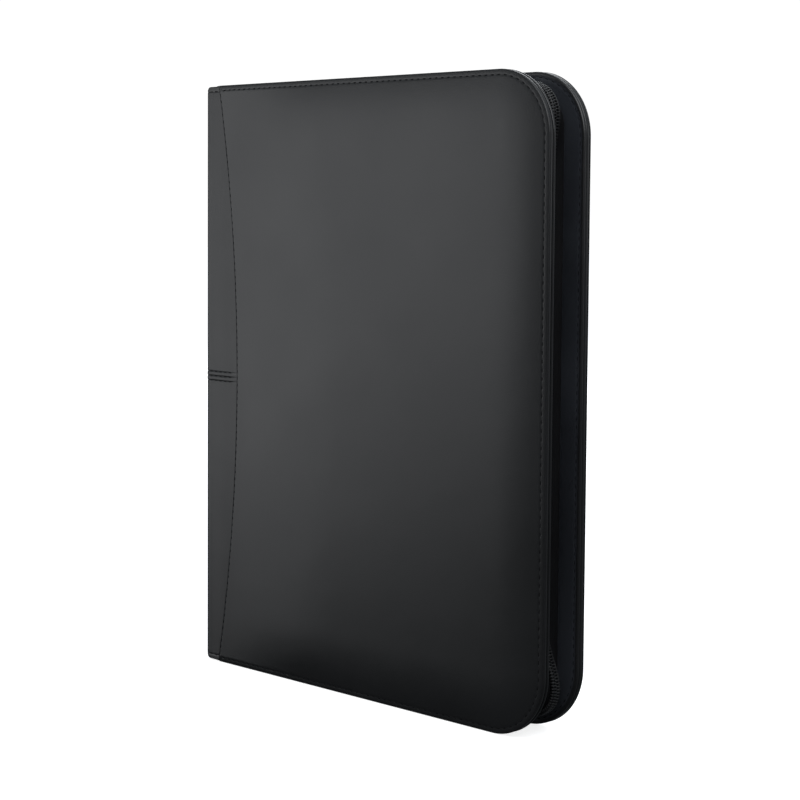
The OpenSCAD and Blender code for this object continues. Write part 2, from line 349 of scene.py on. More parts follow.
def noise(t, at, scale, detail=3.0, rough=0.5, stretch=None):
    n = t.nodes.new("ShaderNodeTexNoise")
    n.inputs["Scale"].default_value = scale
    n.inputs["Detail"].default_value = detail
    n.inputs["Roughness"].default_value = rough
    if stretch:
        m = t.nodes.new("ShaderNodeMapping")
        m.inputs["Scale"].default_value = stretch
        t.links.new(at, m.inputs["Vector"])
        at = m.outputs["Vector"]
    t.links.new(at, n.inputs["Vector"])
    return n.outputs["Fac"]


def cells(t, at, scale, feature="F1"):
    v = t.nodes.new("ShaderNodeTexVoronoi")
    v.feature = feature
    v.inputs["Scale"].default_value = scale
    t.links.new(at, v.inputs["Vector"])
    return v.outputs["Distance"]


def ramp(t, fac, lo, hi, a, b):
    """fac from lo..hi mapped to a..b."""
    r = t.nodes.new("ShaderNodeMapRange")
    r.inputs["From Min"].default_value = lo
    r.inputs["From Max"].default_value = hi
    r.inputs["To Min"].default_value = a
    r.inputs["To Max"].default_value = b
    t.links.new(fac, r.inputs["Value"])
    return r.outputs["Result"]


def tint(t, fac, dark, light):
    """A colour between dark and light."""
    m = t.nodes.new("ShaderNodeMix")
    m.data_type = "RGBA"
    m.inputs["A"].default_value = (*dark, 1)
    m.inputs["B"].default_value = (*light, 1)
    t.links.new(fac, m.inputs["Factor"])
    return m.outputs["Result"]


def bump(t, bsdf, layers):
    """Stacked bump layers, each (height, strength, reach in metres)."""
    last = None
    for height, strength, reach in layers:
        b = t.nodes.new("ShaderNodeBump")
        b.inputs["Strength"].default_value = strength
        b.inputs["Distance"].default_value = reach
        t.links.new(height, b.inputs["Height"])
        if last is not None:
            t.links.new(last, b.inputs["Normal"])
        last = b.outputs["Normal"]
    t.links.new(last, bsdf.inputs["Normal"])


def leather(name, dark, light, low, high, grain):
    """Fine-grained coated leather with a soft sheen, slightly uneven in tone and gloss."""
    m, t, bsdf, at = tree_of(name)
    cloud = noise(t, at, 14.0, 4.0, 0.55)
    fine = noise(t, at, 900.0, 2.0, 0.6)
    pores = cells(t, at, 1500.0)
    creases = cells(t, at, 620.0, "DISTANCE_TO_EDGE")
    t.links.new(tint(t, ramp(t, cloud, 0.3, 0.7, 0.0, 1.0), dark, light), bsdf.inputs["Base Color"])
    t.links.new(ramp(t, cloud, 0.25, 0.75, low, high), bsdf.inputs["Roughness"])
    bsdf.inputs["Specular IOR Level"].default_value = 0.5
    bump(t, bsdf, [
        (noise(t, at, 36.0, 3.0), 0.05, 0.002),
        (pores, grain, 0.0002),
        (creases, grain * 0.6, 0.0002),
        (fine, grain * 0.5, 0.0001),
    ])
    return m


def cloth(name, dark, light, scale, rough, depth=0.25):
    """Plain weave: two crossed sets of threads with fibre noise over them."""
    m, t, bsdf, at = tree_of(name)
    waves = []
    for axis in ("X", "Z"):
        w = t.nodes.new("ShaderNodeTexWave")
        w.bands_direction = axis
        w.inputs["Scale"].default_value = scale
        w.inputs["Distortion"].default_value = 0.6
        w.inputs["Detail"].default_value = 1.0
        t.links.new(at, w.inputs["Vector"])
        waves.append(w.outputs["Fac"])
    both = t.nodes.new("ShaderNodeMath")
    both.operation = "MULTIPLY"
    t.links.new(waves[0], both.inputs[0])
    t.links.new(waves[1], both.inputs[1])
    patch = noise(t, at, 45.0, 4.0)
    t.links.new(tint(t, ramp(t, patch, 0.3, 0.7, 0.0, 1.0), dark, light), bsdf.inputs["Base Color"])
    t.links.new(ramp(t, patch, 0.3, 0.7, rough - 0.06, rough + 0.06), bsdf.inputs["Roughness"])
    bsdf.inputs["Specular IOR Level"].default_value = 0.2
    bump(t, bsdf, [(both.outputs[0], depth, 0.0002), (noise(t, at, 1800.0, 2.0), depth * 0.6, 0.0001)])
    return m


def moulded(name, dark, light, rough, metallic=0.0, scratch=0.06):
    """Nylon, enamel or plated metal with fine scuffs."""
    m, t, bsdf, at = tree_of(name)
    scuff = noise(t, at, 260.0, 4.0, 0.6, (1.0, 1.0, 6.0))
    cloud = noise(t, at, 60.0, 3.0)
    t.links.new(tint(t, ramp(t, cloud, 0.3, 0.7, 0.0, 1.0), dark, light), bsdf.inputs["Base Color"])
    t.links.new(ramp(t, scuff, 0.3, 0.7, rough - 0.07, rough + 0.09), bsdf.inputs["Roughness"])
    bsdf.inputs["Metallic"].default_value = metallic
    bump(t, bsdf, [(scuff, scratch, 0.0001), (noise(t, at, 1200.0, 2.0), scratch, 0.00005)])
    return m


def twine(name, dark, light):
    """Matt twisted sewing thread."""
    m, t, bsdf, at = tree_of(name)
    twist = noise(t, at, 2600.0, 2.0, 0.6, (1.0, 1.0, 0.5))
    t.links.new(tint(t, twist, dark, light), bsdf.inputs["Base Color"])
    t.links.new(ramp(t, twist, 0.3, 0.7, 0.72, 0.9), bsdf.inputs["Roughness"])
    bsdf.inputs["Specular IOR Level"].default_value = 0.18
    bump(t, bsdf, [(twist, 0.5, 0.0002)])
    return m


def kraft_board():
    """Grey-brown board with long fibres."""
    m, t, bsdf, at = tree_of("board")
    fibre = noise(t, at, 420.0, 5.0, 0.65, (1.0, 1.0, 0.25))
    t.links.new(tint(t, fibre, (0.20, 0.13, 0.075), (0.42, 0.32, 0.2)), bsdf.inputs["Base Color"])
    t.links.new(ramp(t, fibre, 0.2, 0.8, 0.75, 0.95), bsdf.inputs["Roughness"])
    bump(t, bsdf, [(fibre, 0.3, 0.0002)])
    return m


def pocket_film():
    """Clear film lying on the black core: a glossy coat with slow ripples."""
    m, t, bsdf, at = tree_of("pocket_film")
    ripple = noise(t, at, 34.0, 2.0, 0.4, (1.0, 1.0, 0.55))
    wavy = noise(t, at, 110.0, 2.0)
    t.links.new(tint(t, ripple, (0.022, 0.022, 0.024), (0.038, 0.038, 0.041)), bsdf.inputs["Base Color"])
    t.links.new(ramp(t, ripple, 0.2, 0.8, 0.10, 0.22), bsdf.inputs["Roughness"])
    bsdf.inputs["Coat Weight"].default_value = 0.7
    bsdf.inputs["Coat Roughness"].default_value = 0.06
    bump(t, bsdf, [(ripple, 0.25, 0.0012), (wavy, 0.06, 0.0004)])
    return m


MAT = {
    "leather": leather(
        "leather", (0.0105, 0.0108, 0.0115), (0.0135, 0.0139, 0.0150), 0.31, 0.37, 0.10
    ),
    "spine": leather(
        "spine_leather", (0.0115, 0.0116, 0.0124), (0.0145, 0.0147, 0.0157), 0.34, 0.40, 0.12
    ),
    "edge": leather("leather_edge", (0.011, 0.011, 0.012), (0.015, 0.0155, 0.0165), 0.26, 0.34, 0.06),
    "lining": leather("lining", (0.018, 0.0200, 0.0245), (0.032, 0.0355, 0.043), 0.38, 0.52, 0.16),
    "tape": cloth("zip_tape", (0.006, 0.006, 0.007), (0.010, 0.010, 0.011), 900.0, 0.8),
    "hinge_cloth": cloth("hinge_cloth", (0.008, 0.008, 0.009), (0.013, 0.013, 0.014), 620.0, 0.75),
    "thread": twine("thread", (0.003, 0.003, 0.0035), (0.007, 0.007, 0.008)),
    "coil": moulded("zip_coil", (0.009, 0.009, 0.010), (0.016, 0.016, 0.017), 0.34),
    "slider": moulded("slider", (0.010, 0.010, 0.011), (0.020, 0.020, 0.021), 0.26, 0.0, 0.10),
    "metal": moulded("rivets", (0.42, 0.42, 0.43), (0.58, 0.58, 0.60), 0.28, 1.0, 0.12),
    "binding": moulded("binding", (0.010, 0.010, 0.011), (0.017, 0.017, 0.018), 0.48, 0.0, 0.14),
    "core": cloth("leaf_core", (0.012, 0.012, 0.013), (0.020, 0.020, 0.021), 700.0, 0.8, 0.15),
    "film": pocket_film(),
    "board": kraft_board(),
}

CAD_LOOKS = {
    "spine_board": "board", "front_board": "board", "back_board": "board",
    "spine_lining": "hinge_cloth", "binding_bar": "binding", "binding_rivets": "metal",
    "leaf_tabs": "core", "front_stop": "metal", "back_stops": "metal",
    "slider_body": "slider", "slider_bail": "slider", "slider_pin": "metal", "pull_tab": "slider",
}
# slider, bail and pull get rounded copies further down
for node_name, look in CAD_LOOKS.items():
    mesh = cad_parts[node_name].data
    mesh.materials.clear()
    mesh.materials.append(MAT[look])

SIDES = {"front": -1, "back": 1}


# ---- outer leather of a cover: padded field, stitched valley, bead and turned edge ----
# (inset, depth) from the hidden underside round the turned edge to the foot of the padding
PANEL_EDGE = [
    (1.8, 15.45), (0.9, 15.40), (0.35, 15.44), (0.08, 15.58), (0.0, 15.78), (0.08, 15.98),
    (0.35, 16.14), (0.8, 16.25), (1.3, 16.32), (1.8, 16.38), (2.2, 16.43), (2.55, 16.47),
    (2.9, 16.51), (3.25, 16.555), (3.6, 16.60), (4.1, 16.66), (5.0, 16.77),
]
# The row under the stitches, and how far the dents reach to the rows beside it
GROOVE_ROW = 12
DENT_WIDTH = (1.0, 0.6, 0.12)
SHOULDER = [6.5, 8.5, 11.0, 14.0, 17.5, 21.0, BAND_W]


def left_of_panel(z):
    return seam_x(z) - LAP


SEWN_DEPTH = 16.55
PAD_FOOT = 3.4
PAD_REACH = 32.0
PAD_RISE = D_FACE + 0.25 - SEWN_DEPTH
LAP_DROP = 0.95


def panel_depth(d, q):
    """Depth of the padded face: d from the sewn edge, q from the border under the spine leather."""
    rise = PAD_RISE * (1 - (1 - min(max(d - PAD_FOOT, 0.0) / PAD_REACH, 1.0)) ** 2.5)
    step = q - LAP
    lap = LAP_DROP * (1 - float(smooth((step + 0.55) / 0.85)))
    return SEWN_DEPTH + rise * float(smooth((step + 4.0) / 90.0)) - lap


def cover_panel(name, side):
    verts, faces = cover_sheet(
        PANEL_EDGE, SHOULDER, panel_depth, left_of_panel, GROOVE_ROW, -0.16, D_SKIN + 0.03
    )
    o = make(name + "_panel", verts, faces, MAT["leather"], side)
    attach(o, name + "_cover")
    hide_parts(name + "_leather", name + "_foam")


# ---- inner lining with its rounded lip ----
# (inset, depth) from the hidden upper side round the lip to the inner face
LINING_EDGE = [
    (1.6, 12.72), (0.9, 12.74), (0.35, 12.62), (0.08, 12.36), (0.0, 12.0), (0.06, 11.6),
    (0.3, 11.25), (0.75, 11.04), (1.3, 10.98), (1.8, 10.98), (2.2, 11.00), (2.55, 11.03),
    (2.9, 11.05), (3.25, 11.03), (3.6, 11.0), (4.1, 11.0), (5.0, 11.02),
]


# Width of the lip, which is cut from the edge leather
LIP_W = 1.9


def corner_inset(x, z):
    """Inset from the cover's outline inside a corner square, and a large number elsewhere."""
    dz = max(z - (HEIGHT - CORNER), CORNER - z)
    if x < X_ARC or dz < 0:
        return FAR
    return CORNER - math.hypot(x - X_ARC, dz)


def left_of_lining(z):
    return LINING[0][0]


def lining_depth(d, q):
    return D_IN + 0.04


def cover_lining(name, side):
    verts, faces = cover_sheet(
        LINING_EDGE, SHOULDER, lining_depth, left_of_lining, GROOVE_ROW, 0.10, D_BOARD - 0.02
    )
    o = make(name + "_lining_panel", verts, faces, MAT["lining"], side)
    o.data.materials.append(MAT["edge"])
    for f in o.data.polygons:
        x, _, z = f.center / MM
        if min(X_FORE - x, z, HEIGHT - z) < LIP_W or corner_inset(x, z) < LIP_W:
            f.material_index = 1
    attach(o, name + "_cover")
    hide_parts(name + "_lining")


# ---- welt: the rounded middle layer of the edge ----
WELT_RING = [
    (8.0, 13.2), (8.0, 14.9), (1.2, 15.42), (0.75, 15.44), (0.4, 15.3), (0.22, 15.0), (0.14, 14.5),
    (0.14, 14.1), (0.24, 13.6), (0.45, 13.26), (0.8, 13.1), (1.3, 13.06),
]


def left_of_welt(z):
    return WELT[0][0]


def cover_welt(name, side):
    cols = refine(edge_columns(near=False)[0], 2)
    rings = []
    for c in cols:
        ring = []
        for d, depth in WELT_RING:
            x, z = edge_point(c, d, left_of_welt)
            ring.append((x, depth, z))
        rings.append(ring)
    verts, faces = loft(rings)
    o = make(name + "_edge", verts, faces, MAT["edge"], side)
    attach(o, name + "_cover")
    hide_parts(name + "_welt")


# ---- stitches: size is (share of the pitch, width, rise) ----
EDGE_STITCH = (0.60, 0.75, 0.20)
LINING_STITCH = (0.60, 0.65, 0.14)
SEAM_STITCH = (0.66, 1.1, 0.24)
BAND_STITCH = (0.72, 0.5, 0.2)


def stitch_shape():
    """One stitch along +u, 2 long and 2 wide, rising to 1 and diving at both ends."""
    stations = [-1.0, -0.8, -0.35, 0.35, 0.8, 1.0]
    widths = [0.25, 0.75, 1.0, 1.0, 0.75, 0.25]
    sink = [-0.9, -0.35, 0.0, 0.0, -0.35, -0.9]
    rings = []
    for u, w, s in zip(stations, widths, sink):
        rings.append([(u, w * math.cos(a), w * math.sin(a) + s) for a in np.arange(6) * math.pi / 3])
    return loft(rings)


def sew(points, pitch_want, out, size):
    """Stitches along a polyline of 3-D points; out(point) is the direction the thread stands up in."""
    points = np.array(points, float)
    s = lengths(points)
    count = max(1, round(s[-1] / pitch_want))
    pitch = s[-1] / count
    template = stitch_shape()
    tv = np.array(template[0])
    parts = []
    for k in range(count):
        mid = (k + 0.5) * pitch
        p = np.array([np.interp(mid, s, points[:, i]) for i in range(3)])
        a = np.array([np.interp(mid - 0.3, s, points[:, i]) for i in range(3)])
        b = np.array([np.interp(mid + 0.3, s, points[:, i]) for i in range(3)])
        along = (b - a) / max(np.linalg.norm(b - a), 1e-9)
        up = np.array(out(p), float)
        across = np.cross(up, along)
        length, width, rise = size[0] * pitch / 2, size[1] / 2, size[2]
        v = p + np.outer(tv[:, 0] * length, along) + np.outer(tv[:, 1] * width, across)
        v = v + np.outer(tv[:, 2] * rise, up)
        parts.append((v, template[1]))
    return parts


def cover_stitches(name, side):
    run = edge_run(left_of_panel)
    keep = [(x, 16.40, z) for x, z in run if x > seam_x(z) + 2.0]
    outer = sew(keep, EDGE_PITCH, lambda p: (0, 1, 0), EDGE_STITCH)
    inner_run = edge_run(left_of_lining)
    keep = [(x, 11.12, z) for x, z in inner_run if x > LINING[0][0] + 2]
    inner = sew(keep, EDGE_PITCH, lambda p: (0, -1, 0), LINING_STITCH)
    verts, faces = merge(outer + inner)
    o = make(name + "_edge_stitches", verts, faces, MAT["thread"], side, 80)
    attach(o, name + "_cover")


# ---- spine leather: one half wraps from the spine's middle over the roll to the curved seam ----
# thickness, hem, dip of the strip towards the hinge and its width, end radius, band grooves
STRIP_T = 0.7
HEM = 2.9
TILT = 0.4
TILT_W = 14.0
END_R = 2.6
BAND_PITCH = 2.7
BAND_HALF = 5.2


def strip_path(z):
    """Points (x, depth, nx, nd, offset) of the closed section at height z."""
    xs = seam_x(z)
    path = []
    r = ROLL_R - STRIP_T / 2
    for depth in spread(0.0, D_HINGE, 9)[:-1]:
        path.append((X_SPINE + STRIP_T / 2, depth, -1.0, 0.0))
    for a in spread(0.0, math.pi / 2, 8):
        x, depth = X_HINGE - r * math.cos(a), D_HINGE + (r - TILT) * math.sin(a)
        path.append((x, depth, -math.cos(a), math.sin(a)))
    flat = D_OUT - STRIP_T / 2
    for x in spread(X_HINGE, xs - 0.9, 10)[1:]:
        path.append((x, flat - TILT * (1 - float(smooth((x - X_HINGE) / TILT_W))), 0.0, 1.0))
    tops = [(x, y, nx, ny, STRIP_T / 2) for x, y, nx, ny in path]
    nose = [(-0.5, 0.5), (-0.15, 0.47), (0.08, 0.3), (0.16, 0.0), (0.08, -0.3), (-0.3, -0.5)]
    tops += [(xs + dx, path[-1][1], 0.0, 1.0, STRIP_T * o) for dx, o in nose]
    lows = [(x, y, nx, ny, -STRIP_T / 2) for x, y, nx, ny in path[::-1]]
    return tops, lows


def strip_rows():
    rows = set()
    z0, z1 = ROLL[0][2], ROLL[1][2]
    steps = [0.0, 0.06, 0.2, 0.42, 0.7, 1.1, 1.6, 2.1, 2.4, 2.65, 2.9, 3.15, 3.4, 3.7]
    for s in steps:
        rows.add(round(z0 + s, 3))
        rows.add(round(z1 - s, 3))
    count = round((z1 - z0 - 2 * steps[-1]) / (SEAM_PITCH / 6))
    for s in spread(z0 + steps[-1], z1 - steps[-1], count):
        if abs(s - MID) > BAND_HALF:
            rows.add(round(s, 3))
    for s in spread(MID - BAND_HALF, MID + BAND_HALF, 44):
        rows.add(round(s, 3))
    return sorted(rows)


def rib(z):
    """Three stitched grooves at mid height, with the leather between them a little raised."""
    grooves = sum(math.exp(-(((z - MID - k * BAND_PITCH) / 0.42) ** 2)) for k in (-1, 0, 1))
    swell = float(smooth((BAND_PITCH + 1.2 - abs(z - MID)) / 1.4))
    return 0.10 * swell - 0.26 * grooves


def end_round(x, gap):
    """How far the spine's outer corner draws in towards the covers near head and tail."""
    if gap >= END_R or x > X_HINGE + ROLL_R:
        return 0.0
    e = END_R * (1 - math.sqrt(max(0.0, 1 - (1 - gap / END_R) ** 2)))
    return e * (1 - float(smooth((x - X_SPINE) / (2 * ROLL_R))))


def spine_half(name, side):
    z0, z1 = ROLL[0][2], ROLL[1][2]
    rings = []
    for z in strip_rows():
        gap = min(z - z0, z1 - z)
        k = math.sqrt(max(0.0, 1 - (1 - min(gap / 0.7, 1.0)) ** 2))
        k = 0.25 + 0.75 * k
        hem = -0.12 * math.exp(-(((gap - HEM) / 0.4) ** 2))
        tops, lows = strip_path(z)
        xs = seam_x(z)
        ring = []
        for x, y, nx, ny, o in tops:
            reach = float(smooth((xs - 2.7 - x) / 1.2))
            extra = 0.0
            if o > 0:
                extra = (rib(z) * reach + hem) * min(1.0, k * 2)
            ring.append((x + end_round(x, gap) + nx * (o * k + extra), y + ny * (o * k + extra), z))
        for x, y, nx, ny, o in lows:
            ring.append((x + end_round(x, gap) + nx * o * k, y + ny * o * k, z))
        rings.append(ring)
    verts, faces = loft(rings)
    o = make(name + "_spine_leather", verts, faces, MAT["spine"], side)
    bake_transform(o)
    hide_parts(name + "_flap", *(["spine_leather"] if name == "front" else []))


def strip_top(x):
    return D_OUT - TILT * (1 - float(smooth((x - X_HINGE) / TILT_W)))


def seam_stitches(name, side):
    top = ROLL[1][2] - HEM
    low = ROLL[0][2] + HEM
    line = [(seam_x(z) + 0.18, D_OUT - 0.10, z) for z in np.arange(low, top, 1.0)]
    parts = sew(line, SEAM_PITCH, lambda p: (0, 1, 0), SEAM_STITCH)
    for dz in (-BAND_PITCH, 0.0, BAND_PITCH):
        z = MID + dz
        row = [(x, strip_top(x) - 0.22, z) for x in np.arange(X_HINGE, seam_x(z) - 3.9, 0.8)]
        parts += sew(row, SEAM_PITCH, lambda p: (0, 1, 0), BAND_STITCH)
    for z in (low, top):
        row = [(x, strip_top(x) - 0.14, z) for x in np.arange(X_HINGE, seam_x(z) - 0.6, 0.8)]
        parts += sew(row, SEAM_PITCH, lambda p: (0, 1, 0), BAND_STITCH)
    verts, faces = merge(parts)
    o = make(name + "_seam_stitches", verts, faces, MAT["thread"], side, 80)
    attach(o, name + "_cover")


def spine_stitches():
    parts = []
    x = X_SPINE + 0.18
    for z in (ROLL[0][2] + HEM, ROLL[1][2] - HEM, MID - BAND_PITCH, MID, MID + BAND_PITCH):
        row = [(x, y, z) for y in np.arange(-D_HINGE, D_HINGE + 0.1, 0.9)]
        parts += sew(row, SEAM_PITCH, lambda p: (-1, 0, 0), BAND_STITCH)
    verts, faces = merge(parts)
    o = make("spine_stitches", verts, faces, MAT["thread"], 1, 80)
    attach(o, "spine")


# ---- hinge lining: soft cloth that closes the gap inside each hinge ----
HINGE_CLOTH_T = 0.5


def hinge_lining(name, side):
    x0, d0 = SPINE_LINING[1][0] - 0.5, SPINE_LINING[1][1]
    x1, d1 = LINING[0][0] + 1.2, D_IN + 0.7
    path = []
    for t in spread(0.0, 1.0, 14):
        bow = math.sin(math.pi * t)
        path.append((x0 + (x1 - x0) * t - 0.3 * bow, d0 - 0.5 + (d1 - d0 + 0.5) * t + 1.7 * bow))
    path = np.array(path)
    tangent = np.gradient(path, axis=0)
    tangent /= np.linalg.norm(tangent, axis=1)[:, None]
    normal = np.stack([-tangent[:, 1], tangent[:, 0]], axis=1)
    rings = []
    for z in spread(SPINE_LINING[0][2] + 0.6, SPINE_LINING[1][2] - 0.6, 60):
        wave = 0.12 * math.sin(z * 0.31) + 0.08 * math.sin(z * 0.83 + 1)
        upper = path + normal * (HINGE_CLOTH_T / 2)
        lower = path - normal * (HINGE_CLOTH_T / 2)
        section = list(upper) + list(lower[::-1])
        rings.append([(x, y + wave * 0.5, z) for x, y in section])
    verts, faces = loft(rings)
    o = make(name + "_hinge_lining", verts, faces, MAT["hinge_cloth"], side)
    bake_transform(o)


# ---- zip ----
COIL_TOP = COIL[1][2]
COIL_LOW = COIL[0][2]
COIL_FORE = COIL[1][0]
X_COIL_HEAD = mm_box("slider_body")[1][0] + 0.3
X_COIL_TAIL = mm_box("front_stop")[1][0]
TOOTH_PITCH = 1.64
# Outer line of the closed chain from the head round to the tail, (x, z)
BULGE = [
    (84.0, COIL_TOP), (95.0, COIL_TOP + 1.4), (105.6, COIL_TOP + 3.2), (113.8, 332.2), (119.2, 327.6),
    (122.6, 320.9), (123.0, 313.6), (121.6, 305.8), (120.2, 297.0), (COIL_FORE - 2.0, 284.0),
    (COIL_FORE - 2.0, 66.0), (119.6, 52.0), (122.8, 42.0), (126.6, 32.0), (127.8, 23.6), (125.4, 16.0),
    (119.0, 10.4), (109.0, 7.4), (97.0, COIL_LOW - 1.0), (84.0, COIL_LOW),
]


def curve_through(points, step=0.5):
    """Catmull-Rom curve through points, sampled about every step."""
    p = np.array(points, float)
    p = np.vstack([2 * p[0] - p[1], p, 2 * p[-1] - p[-2]])
    out = []
    for i in range(1, len(p) - 2):
        a, b, c, d = p[i - 1], p[i], p[i + 1], p[i + 2]
        n = max(2, int(np.linalg.norm(c - b) / step))
        ta, tc = math.sqrt(np.linalg.norm(b - a)), math.sqrt(np.linalg.norm(d - c))
        tb = math.sqrt(np.linalg.norm(c - b))
        m1 = tb * ((b - a) / ta - (c - a) / (ta + tb) + (c - b) / tb)
        m2 = tb * ((c - b) / tb - (d - b) / (tb + tc) + (d - c) / tc)
        for k in range(n):
            u = k / n
            h = (2 * u**3 - 3 * u**2 + 1, u**3 - 2 * u**2 + u, -2 * u**3 + 3 * u**2, u**3 - u**2)
            out.append(h[0] * b + h[1] * m1 + h[2] * c + h[3] * m2)
    out.append(p[-2])
    return np.array(out)


def resample(line, step):
    s = lengths(line)
    n = max(2, int(round(s[-1] / step)))
    at = np.linspace(0, s[-1], n + 1)
    return np.stack([np.interp(at, s, line[:, i]) for i in range(2)], axis=1)


def outward(line):
    t = np.gradient(line, axis=0)
    t /= np.linalg.norm(t, axis=1)[:, None]
    return np.stack([-t[:, 1], t[:, 0]], axis=1)


def coil_line(step, head, tail):
    """Outer line of the coil from its head end round to its tail end, as (x, z)."""
    return resample(np.vstack([[(head, COIL_TOP)], curve_through(BULGE), [(tail, COIL_LOW)]]), step)


# (depth, outward) along the rod, from the tape round the head and back
TOOTH = [
    (2.6, -2.05), (2.66, -1.0), (2.3, -0.5), (1.4, -0.38), (0.35, -0.42), (-0.22, -0.75),
    (-0.28, -1.2), (0.3, -1.6), (1.3, -1.75), (2.4, -1.9),
]
TOOTH_R = 0.5
# (depth, outward) of the two sewing threads that hold the teeth on the tape
CORE_THREADS = ((1.95, -0.12), (2.35, -0.2))


def tooth_rings():
    """Rings of one tooth as (along, depth, outward) offsets, a bent nylon rod with a fat head."""
    p = np.array(TOOTH, float)
    t = np.gradient(p, axis=0)
    t /= np.linalg.norm(t, axis=1)[:, None]
    rings = []
    for (d, n), (td, tn) in zip(p, t):
        fat = 0.76 if d < 0.4 else 1.0
        ring = []
        for a in np.arange(6) * math.pi / 3:
            along = TOOTH_R * fat * math.cos(a)
            off = TOOTH_R * math.sin(a)
            ring.append((along, d - tn * off, n + td * off))
        rings.append(ring)
    return loft(rings)


def zip_coil(name, side):
    line = coil_line(TOOTH_PITCH / 2, X_COIL_HEAD, X_COIL_TAIL)
    out = outward(line)
    along = np.stack([out[:, 1], -out[:, 0]], axis=1)
    tv, tf = tooth_rings()
    tv = np.array(tv)
    parts = []
    first = 1 if name == "front" else 2
    for k in range(first, len(line) - 1, 2):
        v = np.zeros((len(tv), 3))
        v[:, 0] = line[k, 0] + along[k, 0] * tv[:, 0] + out[k, 0] * tv[:, 2]
        v[:, 1] = tv[:, 1]
        v[:, 2] = line[k, 1] + along[k, 1] * tv[:, 0] + out[k, 1] * tv[:, 2]
        parts.append((v, tf))
    for depth, height in CORE_THREADS:
        rings = []
        for k in range(len(line)):
            lift = height - (0.28 if k % 2 == (first + 1) % 2 else 0.0)
            ring = []
            for a in np.arange(5) * 2 * math.pi / 5:
                n = lift + 0.2 * math.sin(a)
                x, z = line[k, 0] + out[k, 0] * n, line[k, 1] + out[k, 1] * n
                ring.append((x, depth + 0.2 * math.cos(a), z))
            rings.append(ring)
        parts.append(loft(rings))
    verts, faces = merge(parts)
    o = make(name + "_zip_coil", verts, faces, MAT["coil"], side, 80)
    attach(o, name + "_cover")
    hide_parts(name + "_coil")


TAPE_T = 0.7
TAPE_R = 18.0
X_TAIL = TAPE[0][0]
TAIL_TIP = D_IN - 3.0


def tape_base(x, z):
    """Where the tape is sewn under the lining: the plain path at the frame's own recess."""
    r = TAPE_R
    cx, top, low = TAPE[1][0] - r, TAPE[1][2] - r, TAPE[0][2] + r
    if x < cx:
        return x, (TAPE[1][2] if z > MID else TAPE[0][2])
    if z > top or z < low:
        cz = top if z > top else low
        a = math.atan2(z - cz, x - cx)
        return cx + r * math.cos(a), cz + r * math.sin(a)
    return TAPE[1][0], z


def zip_tape(name, side):
    line = coil_line(1.5, X_TAIL, X_TAIL)
    out = outward(line)
    x_stop = mm_box(name + ("_stop" if name == "front" else "_stops"))[0][0]
    rings = []
    shares = [0.0, 0.06, 0.15, 0.3, 0.5, 0.7, 0.85, 0.94, 1.0]
    for (x, z), (nx, nz) in zip(line, out):
        ex, ez = x - nx * (COIL_TOP - TAPE[1][2]), z - nz * (COIL_TOP - TAPE[1][2])
        bx, bz = tape_base(ex, ez)
        cut = float(smooth((x_stop - x) / (x_stop - X_TAIL))) if x < x_stop else 0.0
        inner = 1.2 + (TAIL_TIP - 1.2) * cut
        ring_out, ring_in = [], []
        for u in shares:
            depth = D_IN + 0.25 + (inner - D_IN - 0.25) * u
            k = float(smooth(u))
            belly = 0.35 * math.sin(math.pi * u)
            px, pz = bx + (ex - bx) * k + nx * belly, bz + (ez - bz) * k + nz * belly
            ring_out.append((px, depth, pz))
            ring_in.append((px - nx * TAPE_T, depth, pz - nz * TAPE_T))
        rings.append(ring_out + ring_in[::-1])
    verts, faces = loft(rings)
    o = make(name + "_zip_tape", verts, faces, MAT["tape"], side, 50)
    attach(o, name + "_cover")
    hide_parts(name + "_tape")


# ---- cast zip fittings: the frame's shapes with their edges rounded ----
def rounded(node, body, radius, look):
    """A copy of a node's mesh with its hard edges bevelled by radius in mm."""
    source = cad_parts[node]
    bm = bmesh.new()
    bm.from_mesh(source.data)
    bm.transform(source.matrix_world)
    bmesh.ops.remove_doubles(bm, verts=bm.verts, dist=1e-6)
    bmesh.ops.dissolve_limit(
        bm, angle_limit=math.radians(1.0), verts=bm.verts, edges=bm.edges, delimit={"NORMAL"}
    )
    hard = [e for e in bm.edges if len(e.link_faces) == 2 and e.calc_face_angle() > math.radians(40)]
    bmesh.ops.bevel(
        bm, geom=hard, offset=radius * MM, segments=3, profile=0.5, affect="EDGES",
        clamp_overlap=True,
    )
    bmesh.ops.recalc_face_normals(bm, faces=bm.faces)
    for f in bm.faces:
        f.smooth = True
    me = bpy.data.meshes.new(node + "_cast")
    bm.to_mesh(me)
    bm.free()
    me.set_sharp_from_angle(angle=math.radians(50))
    me.materials.append(MAT[look])
    o = bpy.data.objects.new(node + "_cast", me)
    bpy.context.scene.collection.objects.link(o)
    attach(o, body)
    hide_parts(node)


# ---- leaves ----
COLS, ROWS = 3, 3
HEM_LEAF = 3.0
WELD = 2.0
# Half thicknesses of a leaf's core sheet and of its film hinge
LEAF_CORE = 0.17
LEAF_HINGE = 0.09


def weld_lines(start, stop, count, inner):
    """Coordinates and film heights (0 on a weld, 1 on a pocket) across a row of pockets."""
    size = (stop - start) / count
    at, high = [start], [0.0]
    for c in range(count):
        a = start + c * size
        for s, h in inner:
            at.append(a + WELD / 2 + s * (size - WELD))
            high.append(h)
        at.append(a + size)
        high.append(0.0)
    return at, high


